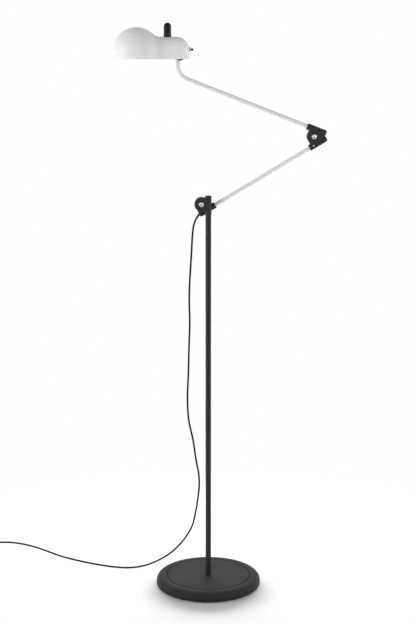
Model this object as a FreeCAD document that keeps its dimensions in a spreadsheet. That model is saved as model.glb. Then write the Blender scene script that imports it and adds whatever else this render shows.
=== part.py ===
"""Floor lamp with a heavy round base, a two-part swinging arm and a turning, tilting shade.

Frame: millimetres, +Z up, origin at the centre of the base's underside. The pole stands on +Z.
The pole bracket and the upper arm lie in the front plane y = 0, and the lower arm in the plane
behind it. The shade's nose points to -X.
"""
import FreeCAD, Part
import Sketcher
import math
import os
from FreeCAD import Placement, Rotation, Vector

os.makedirs("parts", exist_ok=True)
doc = FreeCAD.newDocument("FloorLamp")

# ---------------------------------------------------------------- driving dimensions (mm, degrees)
SIZES = {
    # base
    "base_radius": 140.6,
    "base_height": 27.0,
    "rim_width": 27.5,
    "rim_crown": 15.5,
    "rim_foot": 4.0,
    "rim_lip": 1.0,
    "groove_width": 1.8,
    "plate_thickness": 6.0,
    "pad_thickness": 1.0,
    "pad_inset": 8.0,
    "nut_recess_radius": 16.0,
    "nut_recess_depth": 12.0,
    # pole and its fixings
    "pole_radius": 7.5,
    "pole_wall": 1.5,
    "pole_plug_length": 34.0,
    "stud_radius": 5.0,
    "stud_clearance": 0.5,
    "base_washer_radius": 12.0,
    "base_washer_thickness": 2.0,
    "base_nut_radius": 9.8,
    "base_nut_height": 8.0,
    # pivots
    "pivot_height": 1037.1,
    "pivot_spacing": 338.3,
    "lower_arm_angle": 31.09,
    "upper_arm_angle": 21.2,
    # bracket castings
    "sleeve_radius": 8.4,
    "front_sleeve_offset": 18.0,
    "rear_sleeve_offset": 21.0,
    "ear_radius": 17.9,
    "ear_chamfer": 1.2,
    "end_round": 4.5,
    "pole_end_round": 1.5,
    "web_setback": 5.0,
    "pole_entry": 28.3,
    "lower_entry": 28.9,
    "elbow_rear_entry": 23.8,
    "elbow_front_entry": 26.0,
    "pole_closed_end": 22.7,
    "lower_closed_end": 19.6,
    "elbow_closed_end": 26.5,
    "bore_depth": 13.2,
    "bore_clearance": 0.05,
    "recess_radius": 8.25,
    "head_recess": 2.5,
    "nut_recess": 7.0,
    # pivot fasteners
    "bolt_radius": 4.0,
    "running_clearance": 0.05,
    "bolt_head_radius": 6.3,
    "bolt_head_height": 2.4,
    "bolt_head_crown": 1.2,
    "bolt_slot_width": 1.4,
    "bolt_slot_depth": 1.4,
    "bolt_end": 0.6,
    "friction_washer": 0.5,
    "friction_radius": 15.0,
    "spring_washer": 1.2,
    "spring_washer_radius": 7.4,
    "nut_radius": 7.5,
    "nut_height": 5.5,
    "set_screw_radius": 2.5,
    "set_screw_place": 12.0,
    "set_screw_proud": 0.3,
    "set_screw_hex": 1.3,
    # arm tubes
    "tube_radius": 5.25,
    "tube_wall": 1.2,
    "lead_radius": 2.9,
    "upper_arm_reach": 381.5,
    "upright_length": 40.1,
    "bend_radius": 38.0,
    # swivel and tilt knuckle
    "post_radius": 3.5,
    "post_bore": 2.2,
    "post_grip": 11.0,
    "swivel_washer": 0.5,
    "block_height": 14.0,
    "block_half_depth": 8.0,
    "block_back": 8.0,
    "block_front": 15.5,
    "block_round": 3.0,
    "tilt_offset": 7.3,
    "tilt_height": 7.0,
    "tilt_screw_radius": 2.0,
    "swivel_nut_radius": 6.0,
    "swivel_nut_height": 4.0,
    "knob_radius": 9.8,
    "knob_height": 7.0,
    "knob_round": 3.0,
    "tilt_nut_radius": 4.0,
    "tilt_nut_height": 3.2,
    # shade
    "rim_below_tilt": 6.0,
    "dome_radius": 62.6,
    "dome_skirt": 17.0,
    "dome_reach": 112.2,
    "tail_radius": 33.0,
    "tail_skirt": 23.0,
    "tail_reach": 10.9,
    "valley_radius": 27.0,
    "shade_wall": 1.2,
    "vent_radius": 2.4,
    "vent_shift": 0.6,
    "vent_inner_angle": 17.5,
    "vent_outer_angle": 40.0,
    # handle
    "handle_reach": 33.5,
    "collar_radius": 9.8,
    "collar_height": 9.0,
    "grip_radius": 9.5,
    "grip_height": 26.2,
    "grip_gap": 0.9,
    "grip_neck": 8.4,
    "handle_screw_radius": 2.5,
    "handle_screw_head": 4.5,
    "screw_head_height": 3.0,
    "screw_bite": 16.0,
    # frame inside the shade
    "sheet": 2.0,
    "cheek_round": 8.0,
    "web_drop": 15.5,
    "web_end": 52.0,
    "flange_half_width": 14.0,
    "flange_bottom": 14.0,
    "spacer_radius": 7.0,
    # lampholder and bulb
    "holder_height": 30.0,
    "holder_radius": 13.5,
    "holder_length": 46.0,
    "holder_flange": 16.0,
    "holder_ring_length": 12.0,
    "holder_step": 1.6,
    "holder_wall": 5.0,
    "nipple_radius": 5.0,
    "nipple_bore": 3.6,
    "nipple_length": 16.0,
    "nipple_nut_radius": 8.0,
    "nipple_nut_height": 3.0,
    "bulb_cap_radius": 7.0,
    "bulb_cap_length": 26.0,
    "bulb_neck_radius": 14.0,
    "bulb_neck_length": 18.0,
    "bulb_radius": 22.5,
    "bulb_wall": 1.0,
    "bulb_sink": 4.5,
    # toggle switch
    "switch_height": 24.0,
    "switch_length": 11.0,
    "switch_half_width": 4.0,
    "switch_half_height": 6.5,
    "switch_gap": 1.5,
    "switch_cavity": 2.6,
    "cavity_depth": 4.6,
    "bush_radius": 3.4,
    "bush_bore": 2.75,
    "bush_proud": 3.2,
    "switch_nut_radius": 6.3,
    "switch_nut_thickness": 3.0,
    "lever_radius": 1.1,
    "lever_length": 11.2,
    "lever_tail": 2.0,
    "lever_pin_radius": 1.5,
    "lever_pin_length": 4.0,
    "lever_pivot_depth": 3.4,
    "lever_ball": 3.4,
    "lever_lean": 10.0,
    # mains cord
    "cord_radius": 2.5,
    "gland_radius": 3.4,
    "gland_length": 6.5,
    "gland_proud": 2.0,
    "coil_radius": 28.0,
    "coil_width": 19.0,
    "coil_thickness": 10.0,
    "cord_tail": 34.0,
    "tie_margin": 0.8,
    "tie_width": 8.0,
    "plug_half_width": 17.5,
    "plug_length": 34.0,
    "plug_half_thickness": 6.8,
    "plug_round": 5.0,
    "pin_radius": 2.0,
    "pin_length": 19.0,
    "pin_spacing": 19.0,
}

sheet = doc.addObject("Spreadsheet::Sheet", "Sizes")
for row, (alias, value) in enumerate(SIZES.items(), start=1):
    sheet.set(f"A{row}", alias)
    sheet.set(f"B{row}", str(value))
    sheet.setAlias(f"B{row}", alias)
doc.recompute()


def size(alias):
    """A driving dimension, read back from the sheet."""
    return float(sheet.get(alias))


# ---------------------------------------------------------------- modelling helpers
X_AXIS = Vector(1, 0, 0)
Y_AXIS = Vector(0, 1, 0)
Z_AXIS = Vector(0, 0, 1)
SUBPARTS = []


def along(direction):
    """The turn that lays an object's own Z axis along a direction."""
    return Rotation(Z_AXIS, direction)


def solid(kind, name, base=Vector(), turn=Rotation(), **formulas):
    """A Part primitive whose sizes are formulas on the sheet."""
    made = doc.addObject("Part::" + kind, name)
    for prop, formula in formulas.items():
        made.setExpression(prop, formula)
    made.Placement = Placement(base, turn)
    return made


def joined(name, *pieces):
    """Several solids made one, with no seams left on shared faces."""
    made = doc.addObject("Part::MultiFuse", name)
    made.Shapes = list(pieces)
    made.Refine = True
    return made


def cut(name, piece, *tools):
    """A solid with other solids taken out of it."""
    if len(tools) > 1:
        tool = doc.addObject("Part::Compound", name + "_tools")
        tool.Links = list(tools)
    else:
        tool = tools[0]
    made = doc.addObject("Part::Cut", name)
    made.Base = piece
    made.Tool = tool
    made.Refine = True
    return made


def shared(name, *pieces):
    """What several solids have in common."""
    made = doc.addObject("Part::MultiCommon", name)
    made.Shapes = list(pieces)
    return made


def group(name, pieces):
    """Separate solids that share one node."""
    made = doc.addObject("Part::Compound", name)
    made.Links = list(pieces)
    return made


def edges_where(shape, test):
    """The numbers of the edges that pass a test."""
    return [number for number, edge in enumerate(shape.Edges, start=1) if test(edge)]


def rounded(name, piece, radius, test, kind="Fillet"):
    """A fillet or chamfer on the edges that pass a test."""
    doc.recompute()
    made = doc.addObject("Part::" + kind, name)
    made.Base = piece
    made.Edges = [(number, radius, radius) for number in edges_where(piece.Shape, test)]
    return made


def flat_at(edge, axis, place):
    """Whether an edge lies in the plane where one coordinate has a given value."""
    low = getattr(edge.BoundBox, axis + "Min")
    high = getattr(edge.BoundBox, axis + "Max")
    return abs(low - place) < 1e-4 and abs(high - place) < 1e-4


def runs_along(edge, direction):
    """Whether an edge is a straight line in a given direction."""
    if not isinstance(edge.Curve, Part.Line):
        return False
    return abs(abs(edge.Curve.Direction.dot(direction)) - 1) < 1e-6


def origin_plane(body, role):
    """One of a body's own origin planes."""
    return next(feature for feature in body.Origin.OriginFeatures if feature.Role == role)


def outline(body, name, role, corners):
    """A closed sketch of straight lines whose corners are pairs of formulas on the sheet."""
    sketch = body.newObject("Sketcher::SketchObject", name + "_outline")
    sketch.AttachmentSupport = [(origin_plane(body, role), "")]
    sketch.MapMode = "FlatFace"
    count = len(corners)
    start = [
        Vector(50 + 10 * math.cos(2 * math.pi * k / count), 50 + 10 * math.sin(2 * math.pi * k / count), 0)
        for k in range(count)
    ]
    for k in range(count):
        sketch.addGeometry(Part.LineSegment(start[k], start[(k + 1) % count]), False)
    for k in range(count):
        sketch.addConstraint(Sketcher.Constraint("Coincident", k, 2, (k + 1) % count, 1))
    for k, (across, up) in enumerate(corners):
        for way, label, formula, guess in (
            ("DistanceX", "across", across, start[k].x),
            ("DistanceY", "up", up, start[k].y),
        ):
            index = sketch.addConstraint(Sketcher.Constraint(way, k, 1, guess))
            sketch.renameConstraint(index, f"{label}_{k}")
            sketch.setExpression(f"Constraints.{label}_{k}", formula)
    return sketch


def turned(name, corners, base=Vector(), turn=Rotation()):
    """A body turned about its own Z axis from an outline of radius and height formulas."""
    body = doc.addObject("PartDesign::Body", name)
    sketch = outline(body, name, "XZ_Plane", corners)
    spin = body.newObject("PartDesign::Revolution", name + "_turn")
    spin.Profile = sketch
    spin.ReferenceAxis = (sketch, ["V_Axis"])
    spin.Angle = 360
    body.Placement = Placement(base, turn)
    doc.recompute()
    return body


def dressed(body, name, formula, test, kind="Fillet"):
    """A fillet or chamfer added to a body, on the edges that pass a test."""
    last = body.Tip
    made = body.newObject("PartDesign::" + kind, name)
    made.Base = (last, [f"Edge{number}" for number in edges_where(last.Shape, test)])
    made.setExpression("Radius" if kind == "Fillet" else "Size", formula)
    doc.recompute()
    return body


def node(piece, name, base=None, turn=Rotation()):
    """Names a finished sub-part and, if asked, puts it in its place."""
    piece.Label = name
    if base is not None:
        piece.Placement = Placement(base, turn)
    SUBPARTS.append(piece)
    return piece


def ring(name, inner, outer, thickness, base, direction):
    """A flat washer, its sizes as formulas."""
    disc = solid("Cylinder", name + "_disc", Radius=outer, Height=thickness)
    hole = solid("Cylinder", name + "_hole", Radius=inner, Height=thickness)
    made = cut(name + "_ring", disc, hole)
    made.Placement = Placement(base, along(direction))
    return made


def hex_nut(name, bore, corner, height, base, direction):
    """A plain hexagon nut, its sizes as formulas."""
    blank = solid("Prism", name + "_blank", Circumradius=corner, Height=height)
    blank.Polygon = 6
    hole = solid("Cylinder", name + "_bore", Radius=bore, Height=height)
    return node(cut(name + "_nut", blank, hole), name, base, along(direction))


# ---------------------------------------------------------------- places worked out from the sizes
LOWER = math.radians(size("lower_arm_angle"))
UPPER = math.radians(size("upper_arm_angle"))
FRONT_OFFSET = size("front_sleeve_offset")
REAR_OFFSET = size("rear_sleeve_offset")
REAR = 2 * size("sleeve_radius") + size("friction_washer")

# the lower arm runs up to the right, and the upper arm from the elbow back up to the left
LOWER_WAY = Vector(math.cos(LOWER), 0, math.sin(LOWER))
LOWER_SIDE = Vector(math.sin(LOWER), 0, -math.cos(LOWER))
UPPER_WAY = Vector(-math.cos(UPPER), 0, math.sin(UPPER))
UPPER_SIDE = Vector(math.sin(UPPER), 0, math.cos(UPPER))

LOWER_PIVOT = Vector(-FRONT_OFFSET, 0, size("pivot_height"))
ELBOW_PIVOT = LOWER_PIVOT + LOWER_WAY * size("pivot_spacing")
LOWER_AXIS = LOWER_PIVOT + LOWER_SIDE * REAR_OFFSET + Y_AXIS * REAR
UPPER_AXIS = ELBOW_PIVOT + UPPER_SIDE * FRONT_OFFSET
CORNER = UPPER_AXIS + UPPER_WAY * size("upper_arm_reach")
TUBE_TOP = CORNER + Z_AXIS * size("upright_length")
TILT = TUBE_TOP + Vector(size("tilt_offset"), 0, size("tilt_height"))
RIM = TILT.z - size("rim_below_tilt")
DOME_X = TILT.x - size("dome_reach")
TAIL_X = TILT.x - size("tail_reach")
TAIL_TOP = RIM + size("tail_skirt") + size("tail_radius")


# ---------------------------------------------------------------- base
def make_base():
    """Moulded rim round a flat steel plate that lies on a cast weight, on a soft pad."""
    inner = "Sizes.base_radius - Sizes.rim_width"
    foot = "Sizes.pad_thickness"
    rim = turned("base_rim", [
        (inner, foot),
        ("Sizes.base_radius", foot),
        ("Sizes.base_radius", "Sizes.base_height"),
        (inner, "Sizes.base_height"),
    ])
    dressed(rim, "rim_crown_round", "Sizes.rim_crown",
            lambda e: flat_at(e, "Z", size("base_height")) and e.BoundBox.XMax > size("base_radius") - 1)
    dressed(rim, "rim_foot_round", "Sizes.rim_foot",
            lambda e: flat_at(e, "Z", size("pad_thickness")) and e.BoundBox.XMax > size("base_radius") - 1)
    dressed(rim, "rim_lip_round", "Sizes.rim_lip",
            lambda e: flat_at(e, "Z", size("base_height"))
            and e.BoundBox.XMax < size("base_radius") - size("rim_width") + 0.5)
    node(rim, "base_rim")

    edge = inner + " - Sizes.groove_width"
    underside = "Sizes.base_height - Sizes.plate_thickness"
    hole = "Sizes.stud_radius + Sizes.stud_clearance"
    plate = turned("base_plate", [
        (hole, underside), (edge, underside), (edge, "Sizes.base_height"), (hole, "Sizes.base_height"),
    ])
    dressed(plate, "plate_edge", "Sizes.rim_lip",
            lambda e: flat_at(e, "Z", size("base_height")) and e.BoundBox.XMax > 2 * size("pole_radius"))
    node(plate, "base_plate")

    seat = "Sizes.pad_thickness + Sizes.nut_recess_depth"
    node(turned("base_weight", [
        (hole, seat),
        ("Sizes.nut_recess_radius", seat),
        ("Sizes.nut_recess_radius", foot),
        (inner, foot),
        (inner, underside),
        (hole, underside),
    ]), "base_weight")

    node(turned("base_pad", [
        ("0", "0"),
        ("Sizes.base_radius - Sizes.pad_inset", "0"),
        ("Sizes.base_radius - Sizes.pad_inset", foot),
        ("0", foot),
    ]), "base_pad")


# ---------------------------------------------------------------- pole
def make_pole():
    """Steel tube with a threaded plug at its foot and a plain plug that carries the top bracket."""
    top = "Sizes.pivot_height - Sizes.pole_entry"
    bore = "Sizes.pole_radius - Sizes.pole_wall"
    node(turned("pole", [
        (bore, "Sizes.base_height"), ("Sizes.pole_radius", "Sizes.base_height"),
        ("Sizes.pole_radius", top), (bore, top),
    ]), "pole")

    seat = size("pad_thickness") + size("nut_recess_depth")
    washer = size("base_washer_thickness")
    stud_foot = ("Sizes.pad_thickness + Sizes.nut_recess_depth - Sizes.base_washer_thickness"
                 " - Sizes.base_nut_height")
    node(turned("pole_stud", [
        ("0", stud_foot), ("Sizes.stud_radius", stud_foot), ("Sizes.stud_radius", "Sizes.base_height"),
        (bore, "Sizes.base_height"), (bore, "Sizes.base_height + Sizes.pole_plug_length"),
        ("0", "Sizes.base_height + Sizes.pole_plug_length"),
    ]), "pole_stud")
    node(ring("base_washer", "Sizes.stud_radius + Sizes.stud_clearance", "Sizes.base_washer_radius",
              "Sizes.base_washer_thickness", Vector(0, 0, seat - washer), Z_AXIS), "base_washer")
    hex_nut("base_nut", "Sizes.stud_radius", "Sizes.base_nut_radius", "Sizes.base_nut_height",
            Vector(0, 0, seat - washer - size("base_nut_height")), Z_AXIS)

    pin_top = "Sizes.pivot_height + Sizes.bore_depth"
    node(turned("pole_spigot", [
        ("0", top + " - Sizes.pole_plug_length"), (bore, top + " - Sizes.pole_plug_length"), (bore, top),
        ("Sizes.tube_radius", top), ("Sizes.tube_radius", pin_top), ("0", pin_top),
    ]), "pole_spigot")


# ---------------------------------------------------------------- bracket castings
def bracket(name, offset, entry, closed_end, corner, recess, outer_side, screw_side, place, turn):
    """One pivot casting: a round sleeve for a tube beside a flat ear with the pivot's bore.

    In its own frame the pivot is at the origin along Y, the sleeve runs along X below it, and its
    open end, which takes the tube, is on +X. Its five sizes are named. outer_side is the side of
    the bolt head or nut.
    """
    half = size("sleeve_radius")
    axis_start = Vector(-size(closed_end), 0, -size(offset))
    sleeve = solid("Cylinder", name + "_sleeve", axis_start, along(X_AXIS),
                   Radius="Sizes.sleeve_radius", Height=f"Sizes.{closed_end} + Sizes.{entry}")
    sleeve = rounded(name + "_sleeve_round", sleeve, size(corner),
                     lambda e: flat_at(e, "X", -size(closed_end)))
    disc = solid("Cylinder", name + "_disc", Vector(0, -half, 0), along(Y_AXIS),
                 Radius="Sizes.ear_radius", Height="2 * Sizes.sleeve_radius")
    web_end = max(size("ear_radius"), size(closed_end) - size("web_setback"))
    web = solid("Box", name + "_web", Vector(-web_end, -half, -size(offset)),
                Length=f"{web_end} + Sizes.ear_radius", Width="2 * Sizes.sleeve_radius",
                Height=f"Sizes.{offset}")
    ear = joined(name + "_ear", disc, web)
    ear = rounded(name + "_ear_edge", ear, size("ear_chamfer"),
                  lambda e: (flat_at(e, "Y", -half) or flat_at(e, "Y", half))
                  and not flat_at(e, "Z", -size(offset)), "Chamfer")
    blank = joined(name + "_blank", sleeve, ear)

    tube_bore = solid("Cylinder", name + "_tube_bore", Vector(-size("bore_depth"), 0, -size(offset)),
                      along(X_AXIS), Radius="Sizes.tube_radius + Sizes.bore_clearance",
                      Height=f"Sizes.bore_depth + Sizes.{entry}")
    pivot_bore = solid("Cylinder", name + "_pivot_bore", Vector(0, -half, 0), along(Y_AXIS),
                       Radius="Sizes.bolt_radius + Sizes.running_clearance",
                       Height="2 * Sizes.sleeve_radius")
    seat = Vector(0, outer_side * (half - size(recess)), 0)
    counterbore = solid("Cylinder", name + "_counterbore", seat, along(Y_AXIS * outer_side),
                        Radius="Sizes.recess_radius", Height=f"Sizes.{recess}")
    screw_hole = solid("Cylinder", name + "_screw_hole", Vector(size("set_screw_place"), 0, -size(offset)),
                       along(Y_AXIS * screw_side),
                       Radius="Sizes.set_screw_radius", Height="Sizes.sleeve_radius + 1")
    tools = [tube_bore, pivot_bore, counterbore, screw_hole]
    if name == "lower_arm_bracket":
        tools.append(gland_hole(place, turn))
    return node(cut(name + "_casting", blank, *tools), name, place, turn)


def set_screw(name, offset, side, place, turn):
    """A short grub screw in a bracket's sleeve, with its point on the tube."""
    start = Vector(size("set_screw_place"), side * size("tube_radius"), -size(offset))
    shank = solid("Cylinder", name + "_shank", start, along(Y_AXIS * side), Radius="Sizes.set_screw_radius",
                  Height="Sizes.sleeve_radius - Sizes.tube_radius + Sizes.set_screw_proud")
    socket = solid("Prism", name + "_socket",
                   start + Y_AXIS * side * (size("sleeve_radius") - size("tube_radius") - 1.2),
                   along(Y_AXIS * side), Circumradius="Sizes.set_screw_hex", Height="2")
    socket.Polygon = 6
    made = cut(name, shank, socket)
    made.Placement = Placement(place, turn)
    return made


def facing(way, side):
    """The turn that lays a casting's X along a tube and its ear away from the sleeve's side."""
    up = side * -1
    return Rotation(way, up.cross(way), up, "ZXY")


def make_brackets():
    """The pole's bracket, the lower arm's two and the upper arm's one, with their set screws."""
    rear = Y_AXIS * REAR
    pole_turn = facing(Z_AXIS * -1, X_AXIS)
    lower_turn = facing(LOWER_WAY, LOWER_SIDE)
    elbow_rear_turn = facing(LOWER_WAY * -1, LOWER_SIDE)
    elbow_front_turn = facing(UPPER_WAY, UPPER_SIDE)
    front = "front_sleeve_offset"
    back = "rear_sleeve_offset"
    bracket("pole_bracket", front, "pole_entry", "pole_closed_end", "pole_end_round", "head_recess",
            1, -1, LOWER_PIVOT, pole_turn)
    bracket("lower_arm_bracket", back, "lower_entry", "lower_closed_end", "end_round", "nut_recess",
            1, 1, LOWER_PIVOT + rear, lower_turn)
    bracket("elbow_rear_bracket", back, "elbow_rear_entry", "elbow_closed_end", "end_round", "nut_recess",
            -1, 1, ELBOW_PIVOT + rear, elbow_rear_turn)
    bracket("elbow_front_bracket", front, "elbow_front_entry", "elbow_closed_end", "end_round",
            "head_recess", -1, 1, ELBOW_PIVOT, elbow_front_turn)

    node(set_screw("pole_screw", front, -1, LOWER_PIVOT, pole_turn), "pole_set_screw")
    node(group("lower_arm_screws", [
        set_screw("lower_screw", back, 1, LOWER_PIVOT + rear, lower_turn),
        set_screw("elbow_rear_screw", back, 1, ELBOW_PIVOT + rear, elbow_rear_turn),
    ]), "lower_arm_set_screws")
    node(set_screw("upper_screw", front, 1, ELBOW_PIVOT, elbow_front_turn), "upper_arm_set_screw")


def make_washers():
    """The friction washer between the castings and the spring washer under the nut, for each pivot."""
    clear = "Sizes.bolt_radius + Sizes.running_clearance"
    nut_seat = REAR + size("sleeve_radius") - size("nut_recess")
    friction = []
    springs = []
    for name, pivot in (("lower_pivot", LOWER_PIVOT), ("elbow", ELBOW_PIVOT)):
        friction.append(ring(name + "_friction", clear, "Sizes.friction_radius", "Sizes.friction_washer",
                             pivot + Y_AXIS * size("sleeve_radius"), Y_AXIS))
        springs.append(ring(name + "_spring", clear, "Sizes.spring_washer_radius", "Sizes.spring_washer",
                            pivot + Y_AXIS * nut_seat, Y_AXIS))
    node(group("friction_washer_pair", friction), "pivot_friction_washers")
    node(group("spring_washer_pair", springs), "pivot_spring_washers")


def make_pivot(name, pivot):
    """The slotted bolt and the nut of one pivot."""
    head_seat = -size("sleeve_radius") + size("head_recess")
    nut_seat = REAR + size("sleeve_radius") - size("nut_recess")
    bolt = turned(name + "_bolt_blank", [
        ("0", "0"),
        ("Sizes.bolt_head_radius", "0"),
        ("Sizes.bolt_head_radius", "Sizes.bolt_head_height"),
        ("Sizes.bolt_head_radius * 0.72", "Sizes.bolt_head_height + Sizes.bolt_head_crown * 0.72"),
        ("0", "Sizes.bolt_head_height + Sizes.bolt_head_crown"),
    ])
    reach = ("3 * Sizes.sleeve_radius + Sizes.friction_washer + Sizes.sleeve_radius"
             " - Sizes.head_recess + Sizes.bolt_end")
    shank = solid("Cylinder", name + "_shank", Vector(), along(Z_AXIS * -1),
                  Radius="Sizes.bolt_radius", Height=reach)
    slot = solid("Box", name + "_slot",
                 Vector(-size("bolt_head_radius"), -size("bolt_slot_width") / 2,
                        size("bolt_head_height") + size("bolt_head_crown") - size("bolt_slot_depth")),
                 Length="2 * Sizes.bolt_head_radius", Width="Sizes.bolt_slot_width",
                 Height="2 * Sizes.bolt_slot_depth")
    whole = cut(name + "_bolt_slotted", joined(name + "_bolt_whole", bolt, shank), slot)
    node(whole, name + "_bolt", pivot + Y_AXIS * head_seat, along(Y_AXIS * -1))

    hex_nut(name + "_nut", "Sizes.bolt_radius", "Sizes.nut_radius", "Sizes.nut_height",
            pivot + Y_AXIS * (nut_seat + size("spring_washer")), Y_AXIS)


# ---------------------------------------------------------------- arms
def round_run(name, radius, start, way, length):
    """A plain round bar from a point along a direction."""
    return solid("Cylinder", name, start, along(way), Radius=radius, Height=length)


def make_lower_arm():
    """Straight tube between the two rear brackets, with the mains lead inside it."""
    start = LOWER_AXIS - LOWER_WAY * size("bore_depth")
    length = "Sizes.pivot_spacing + 2 * Sizes.bore_depth"
    tube = round_run("lower_tube", "Sizes.tube_radius", start, LOWER_WAY, length)
    bore = round_run("lower_tube_bore", "Sizes.tube_radius - Sizes.tube_wall", start, LOWER_WAY, length)
    node(cut("lower_tube_cut", tube, bore), "lower_arm_tube")
    node(round_run("lower_lead", "Sizes.lead_radius", start, LOWER_WAY, length), "lower_arm_lead")


def bent_bar(name, radius):
    """The upper arm's line as a bar: straight from the elbow, one bend, then straight up."""
    turn = 90 - size("upper_arm_angle")
    tangent = size("bend_radius") * math.tan(math.radians(turn / 2))
    tangent_formula = "Sizes.bend_radius * tan((90 - Sizes.upper_arm_angle) / 2 * 1 deg)"
    start = UPPER_AXIS - UPPER_WAY * size("bore_depth")
    slope = round_run(name + "_slope", radius, start, UPPER_WAY,
                      "Sizes.bore_depth + Sizes.upper_arm_reach - " + tangent_formula)
    bend_end = CORNER + Z_AXIS * tangent
    upright = round_run(name + "_upright", radius, bend_end, Z_AXIS,
                        "Sizes.upright_length - " + tangent_formula)
    centre = bend_end + X_AXIS * size("bend_radius")
    bend = solid("Torus", name + "_bend", centre, Rotation(X_AXIS * -1, Z_AXIS * -1, Y_AXIS * -1, "ZXY"),
                 Radius1="Sizes.bend_radius", Radius2=radius, Angle3="90 - Sizes.upper_arm_angle")
    return joined(name, slope, bend, upright)


def make_upper_arm():
    """Bent tube from the elbow to the swivel, with its lead, and the hollow post in its top end."""
    tube = bent_bar("upper_tube", "Sizes.tube_radius")
    bore = bent_bar("upper_tube_bore", "Sizes.tube_radius - Sizes.tube_wall")
    node(cut("upper_tube_cut", tube, bore), "upper_arm_tube")

    lead = bent_bar("upper_lead_bar", "Sizes.lead_radius")
    room = round_run("upper_lead_room", "Sizes.tube_radius", TUBE_TOP - Z_AXIS * size("post_grip"), Z_AXIS,
                     "Sizes.post_grip + 1")
    node(cut("upper_lead_cut", lead, room), "upper_arm_lead")

    stack = ("Sizes.swivel_washer * 2 + Sizes.block_height + Sizes.swivel_nut_height + 1")
    node(turned("swivel_post", [
        ("Sizes.post_bore", "-Sizes.post_grip"),
        ("Sizes.tube_radius - Sizes.tube_wall", "-Sizes.post_grip"),
        ("Sizes.tube_radius - Sizes.tube_wall", "0"),
        ("Sizes.post_radius", "0"),
        ("Sizes.post_radius", stack),
        ("Sizes.post_bore", stack),
    ], TUBE_TOP), "swivel_post")
    clear = "Sizes.post_radius + Sizes.running_clearance"
    top_of_block = size("swivel_washer") + size("block_height")
    node(group("swivel_washer_pair", [
        ring(f"swivel_{place}_washer", clear, "Sizes.tube_radius", "Sizes.swivel_washer",
             TUBE_TOP + Z_AXIS * height, Z_AXIS)
        for place, height in (("lower", 0), ("upper", top_of_block))
    ]), "swivel_washers")
    hex_nut("swivel_nut", "Sizes.post_radius", "Sizes.swivel_nut_radius", "Sizes.swivel_nut_height",
            TUBE_TOP + Z_AXIS * (top_of_block + size("swivel_washer")), Z_AXIS)


# ---------------------------------------------------------------- knuckle under the shade
def make_knuckle():
    """Block that turns on the post and carries the cross screw on which the shade tilts."""
    base = Vector(-size("block_back"), -size("block_half_depth"), size("swivel_washer"))
    blank = solid("Box", "block_blank", base, Length="Sizes.block_back + Sizes.block_front",
                  Width="2 * Sizes.block_half_depth", Height="Sizes.block_height")
    blank = rounded("block_round", blank, size("block_round"), lambda e: runs_along(e, Z_AXIS))
    clear = "Sizes.running_clearance"
    post_hole = solid("Cylinder", "block_post_hole", Vector(), Rotation(),
                      Radius="Sizes.post_radius + " + clear, Height="Sizes.block_height + 1")
    screw_hole = solid("Cylinder", "block_screw_hole",
                       Vector(size("tilt_offset"), -size("block_half_depth"), size("tilt_height")),
                       along(Y_AXIS), Radius="Sizes.tilt_screw_radius + " + clear,
                       Height="2 * Sizes.block_half_depth")
    node(cut("block_cut", blank, post_hole, screw_hole), "swivel_block", TUBE_TOP)


def make_tilt():
    """Cross screw of the tilt, its knob on the near side, its nut and two friction washers."""
    cheek_face = size("block_half_depth") + size("friction_washer") + size("sheet")
    near = TILT - Y_AXIS * cheek_face
    reach = ("2 * (Sizes.block_half_depth + Sizes.friction_washer + Sizes.sheet)"
             " + Sizes.tilt_nut_height + 0.5")
    node(round_run("tilt_rod", "Sizes.tilt_screw_radius", near, Y_AXIS, reach), "tilt_screw")
    knob = turned("tilt_knob", [
        ("0", "0"), ("Sizes.knob_radius", "0"), ("Sizes.knob_radius", "Sizes.knob_height"),
        ("0", "Sizes.knob_height"),
    ], near, along(Y_AXIS * -1))
    dressed(knob, "knob_edge", "Sizes.knob_round", lambda e: flat_at(e, "Z", size("knob_height")))
    node(knob, "tilt_knob")
    hex_nut("tilt_nut", "Sizes.tilt_screw_radius", "Sizes.tilt_nut_radius", "Sizes.tilt_nut_height",
            TILT + Y_AXIS * cheek_face, Y_AXIS)
    node(group("tilt_washer_pair", [
        ring(f"tilt_{place}_washer", "Sizes.tilt_screw_radius + Sizes.running_clearance",
             "Sizes.block_height / 2 - 0.5", "Sizes.friction_washer",
             TILT + Y_AXIS * side * size("block_half_depth"), Y_AXIS * side)
        for place, side in (("near", -1), ("far", 1))
    ]), "tilt_washers")


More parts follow.
